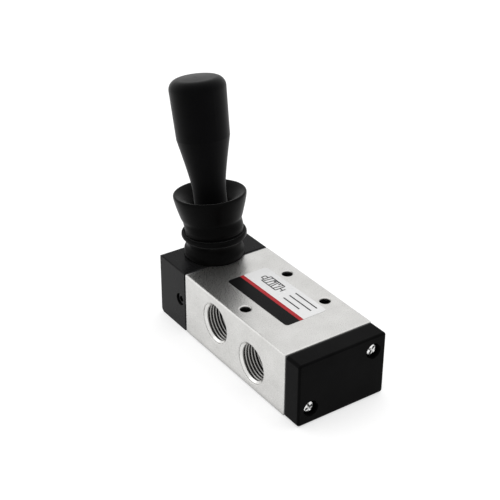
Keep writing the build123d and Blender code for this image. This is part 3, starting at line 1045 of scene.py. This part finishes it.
@dataclass
class Label:
    """The printed film on top of the body, bare of words."""

    length: float = 39.1 * MM
    width: float = 19.2 * MM
    middle: Point = (-0.95 * MM, 0.95 * MM)
    turned: float = 0.9
    corner: float = 1.6 * MM
    film: float = 0.06 * MM
    ink: float = 0.012 * MM
    soft_rim: float = 0.005 * MM
    black_band: float = 6.3 * MM
    red_band: float = 1.75 * MM
    sign_corner: Point = (-12.4 * MM, 2.1 * MM)
    sign_stroke: float = 0.5 * MM
    rule_stroke: float = 0.6 * MM
    rule_start: float = 3.0
    rule_ends: tuple[float, float, float] = (16.5, 16.5, 13.0)
    first_rule: float = 7.2
    rule_gap: float = 2.9

    def placed(self, outline: Sequence[Point]) -> list[Point]:
        """Turn an outline from the label's own axes to its place on the body."""
        c, s = math.cos(math.radians(self.turned)), math.sin(math.radians(self.turned))
        return [(self.middle[0] + x * c - y * s, self.middle[1] + x * s + y * c) for x, y in outline]

    def band(
        self, name: str, low: float, high: float, radii: Sequence[float], layer: int
    ) -> bpy.types.Object:
        """A band across the label's length.

        Args:
            name: The piece's name.
            low: Its near edge, across the label.
            high: Its far edge.
            radii: Its corner radii.
            layer: How many films lie under it.

        Returns:
            The band.
        """
        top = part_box("valve_body")[1].z
        bottom = top if layer == 0 else top + self.film
        thickness = self.film if layer == 0 else self.ink
        half = self.length / 2
        outline = self.placed(rounded_rectangle((-half, low), (half, high), radii))
        return plate(name, outline, bottom, bottom + thickness, self.soft_rim)

    def strokes(self) -> list[tuple[Point, Point]]:
        """Draw the standard sign of a five-port two-position valve.

        Returns:
            Its lines, in millimetres from the corner of its first box.
        """
        box = 4.6
        stop = box - 1.1
        lines = [((0, 0), (2 * box, 0)), ((0, box), (2 * box, box))]
        lines += [((x, 0), (x, box)) for x in (0, box, 2 * box)]
        lines += [((0.9, 0), (1.6, box)), ((2.6, 0), (3.3, box))]
        lines += [((box + 1.4, 0), (box + 0.9, box)), ((box + 2.9, 0), (box + 3.6, box))]
        for x in (3.9, box + 2.2):
            lines += [((x, box), (x, stop)), ((x - 0.35, stop), (x + 0.35, stop))]
        lines += [((-1.8, 1.2), (0, 1.2)), ((-1.8, 3.2), (0, 3.2)), ((-1.8, 1.2), (-1.8, 3.2))]
        lines += [((2 * box, 2.2), (2 * box + 1.8, 2.2)), ((2 * box + 1.8, 0.9), (2 * box + 1.8, 3.5))]
        return lines

    def bar(self, first: Point, last: Point, width: float) -> bpy.types.Object:
        """Print one line on the film.

        Args:
            first: One end, in the label's own axes.
            last: The other end.
            width: The line's width.

        Returns:
            The line.
        """
        run = Vector(last) - Vector(first)
        side = Vector((-run.y, run.x)).normalized() * width / 2
        a, b = Vector(first), Vector(last)
        outline = self.placed([tuple(a - side), tuple(b - side), tuple(b + side), tuple(a + side)])
        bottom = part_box("valve_body")[1].z + self.film
        return plate("bar", outline, bottom, bottom + self.ink)

    def sign(self) -> bpy.types.Object:
        """Print the valve's sign and three plain ruled lines.

        Returns:
            The sign and the lines as one piece.
        """
        corner = Vector(self.sign_corner)
        bars = []
        for first, last in self.strokes():
            a = corner + Vector(first) * MM
            b = corner + Vector(last) * MM
            bars.append(self.bar(tuple(a), tuple(b), self.sign_stroke))
        for row, end in enumerate(self.rule_ends):
            y = (self.first_rule - self.rule_gap * row) * MM
            bars.append(self.bar((self.rule_start * MM, y), (end * MM, y), self.rule_stroke))
        return joined("label_sign", bars)

    def build(self, palette: Palette) -> list[bpy.types.Object]:
        """Build the film and its printing.

        Args:
            palette: The finishes.

        Returns:
            The film, its two bands and its sign, riding on the valve.
        """
        half = self.width / 2
        c = self.corner
        split = -half + self.black_band
        stripe = split + self.red_band
        pieces = [
            (self.band("label_film", -half, half, (c, c, c, c), 0), LABEL_FILM),
            (self.band("label_black_band", -half, split, (c, c, 0, 0), 1), LABEL_BLACK),
            (self.band("label_red_band", split, stripe, (0, 0, 0, 0), 1), LABEL_RED),
            (self.sign(), LABEL_GREY),
        ]
        for piece, finish in pieces:
            palette.dress(piece, finish)
            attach(piece, Carrier.VALVE.value)
        return [piece for piece, _ in pieces]


# ------------------------------------------------------------------ studio


def white_rays(tree: bpy.types.NodeTree) -> bpy.types.NodeSocket:
    """Tell the rays that show the background from those that light the valve.

    Args:
        tree: The node tree that asks.

    Returns:
        1 for rays of the camera, of reflections and of clear pieces, and 0 for the rest.
    """
    path = tree.nodes.new("ShaderNodeLightPath")
    seen = path.outputs["Is Camera Ray"]
    for kind in ("Is Glossy Ray", "Is Transmission Ray"):
        either = tree.nodes.new("ShaderNodeMath")
        either.operation = "MAXIMUM"
        tree.links.new(seen, either.inputs[0])
        tree.links.new(path.outputs[kind], either.inputs[1])
        seen = either.outputs[0]
    return seen


@dataclass
class Studio:
    """Floor, light and camera."""

    eye: Vector = Vector((0.31453, -0.22915, 0.27017))
    turn: float = 55.3815
    tilt: float = 29.7394
    roll: float = 0.3197
    lens: float = 85.605
    target: Vector = Vector((-0.01, 0, 0.04))
    floor_size: float = 6.0
    floor_drop: float = 0.0002
    floor_shade: float = 0.5
    floor_glow: float = 0.58
    bright_side: Vector = Vector((-0.66, 0.45, 0.60))
    dim: float = 0.20
    bright: float = 1.25

    def camera(self) -> None:
        """Aim the camera."""
        turn, tilt, roll = (math.radians(a) for a in (self.turn, self.tilt, self.roll))
        back = Vector((math.sin(turn) * math.cos(tilt), -math.cos(turn) * math.cos(tilt), math.sin(tilt)))
        right = Vector((0, 0, 1)).cross(back).normalized()
        up = back.cross(right)
        rolled_right = right * math.cos(roll) + up * math.sin(roll)
        rolled_up = up * math.cos(roll) - right * math.sin(roll)
        data = bpy.data.cameras.new("camera")
        data.lens = self.lens
        data.sensor_width = 36
        data.clip_start = 0.01
        data.clip_end = 20
        camera = bpy.data.objects.new("camera", data)
        bpy.context.collection.objects.link(camera)
        axes = Matrix((rolled_right, rolled_up, back)).transposed().to_4x4()
        camera.matrix_world = Matrix.Translation(self.eye) @ axes
        bpy.context.scene.camera = camera

    def lamp(self, name: str, place: Sequence[float], size: float, power: float) -> None:
        """A square soft box that faces the valve.

        Args:
            name: The lamp's name.
            place: Where it hangs.
            size: Its side.
            power: Its power in watts.
        """
        data = bpy.data.lights.new(name, "AREA")
        data.shape = "SQUARE"
        data.size = size
        data.energy = power
        lamp = bpy.data.objects.new(name, data)
        bpy.context.collection.objects.link(lamp)
        lamp.location = place
        aim = self.target - Vector(place)
        lamp.rotation_mode = "QUATERNION"
        lamp.rotation_quaternion = aim.to_track_quat("-Z", "Y")

    def surroundings(self) -> None:
        """A room that is white to the camera and lights the valve from above and behind."""
        world = bpy.data.worlds.new("room")
        bpy.context.scene.world = world
        world.use_nodes = True
        tree = world.node_tree
        background = tree.nodes["Background"]
        background.inputs["Color"].default_value = (1, 1, 1, 1)
        heading = tree.nodes.new("ShaderNodeTexCoord").outputs["Generated"]
        along = tree.nodes.new("ShaderNodeVectorMath")
        along.operation = "DOT_PRODUCT"
        along.inputs[1].default_value = self.bright_side
        room = tree.nodes.new("ShaderNodeMapRange")
        room.interpolation_type = "SMOOTHSTEP"
        room.inputs["From Min"].default_value = -0.6
        room.inputs["From Max"].default_value = 0.6
        room.inputs["To Min"].default_value = self.dim
        room.inputs["To Max"].default_value = self.bright
        level = tree.nodes.new("ShaderNodeMix")
        tree.links.new(heading, along.inputs[0])
        tree.links.new(along.outputs["Value"], room.inputs["Value"])
        tree.links.new(white_rays(tree), level.inputs["Factor"])
        tree.links.new(room.outputs["Result"], level.inputs["A"])
        level.inputs["B"].default_value = 1.0
        tree.links.new(level.outputs["Result"], background.inputs["Strength"])

    def floor(self) -> None:
        """A white floor that keeps a soft shadow."""
        half = self.floor_size / 2
        corners = [Vector((x * half, y * half, -self.floor_drop)) for x, y in SQUARE]
        piece = shown("floor", corners, [(0, 1, 2, 3)])
        material = bpy.data.materials.new("floor_white")
        material.use_nodes = True
        tree = material.node_tree
        tree.nodes.clear()
        matt = tree.nodes.new("ShaderNodeBsdfDiffuse")
        matt.inputs["Color"].default_value = (*[self.floor_shade] * 3, 1)
        glow = tree.nodes.new("ShaderNodeEmission")
        share = tree.nodes.new("ShaderNodeMath")
        share.operation = "MULTIPLY"
        share.inputs[1].default_value = self.floor_glow
        both = tree.nodes.new("ShaderNodeAddShader")
        output = tree.nodes.new("ShaderNodeOutputMaterial")
        tree.links.new(white_rays(tree), share.inputs[0])
        tree.links.new(share.outputs[0], glow.inputs["Strength"])
        tree.links.new(matt.outputs[0], both.inputs[0])
        tree.links.new(glow.outputs[0], both.inputs[1])
        tree.links.new(both.outputs[0], output.inputs["Surface"])
        piece.data.materials.append(material)

    def build(self) -> None:
        """Set up the whole studio."""
        bpy.context.scene.view_settings.view_transform = "Standard"
        self.camera()
        self.surroundings()
        self.floor()
        self.lamp("top_box", place=(-0.1, 0.2, 0.95), size=0.9, power=1.2)
        self.lamp("near_box", place=(-0.75, -0.65, 0.45), size=0.7, power=0.9)


def main() -> None:
    """Build the valve's looks in order."""
    logging.basicConfig(level=logging.INFO, format="%(name)s: %(message)s")
    palette = Palette()
    for node, finish in NODE_FINISHES.items():
        palette.dress(frame["nodes"][node], finish)
        log.info("%s dressed in %s", node, finish.name)
    threads = [
        PortThread("thread_port_a", "port_a", PIPE_PITCH, LARGE_PORT_MINOR),
        PortThread("thread_port_b", "port_b", PIPE_PITCH, LARGE_PORT_MINOR),
        PortThread("thread_supply", "supply_p", PIPE_PITCH, LARGE_PORT_MINOR),
        PortThread("thread_exhaust_r", "exhaust_r", PIPE_PITCH, SMALL_PORT_MINOR),
        PortThread("thread_exhaust_s", "exhaust_s", PIPE_PITCH, SMALL_PORT_MINOR),
    ]
    screws = [
        PanHeadScrews("cap_screws", Slope.RISING, 1),
        PanHeadScrews("housing_screws", Slope.FALLING, -1),
    ]
    for maker in (*threads, *screws, Boot()):
        piece = maker.build(palette)
        log.info("%s built, %d faces", piece.name, len(piece.data.polygons))
    for piece in Label().build(palette):
        log.info("%s built", piece.name)
    Studio().build()


if __name__ == "__main__":
    main()
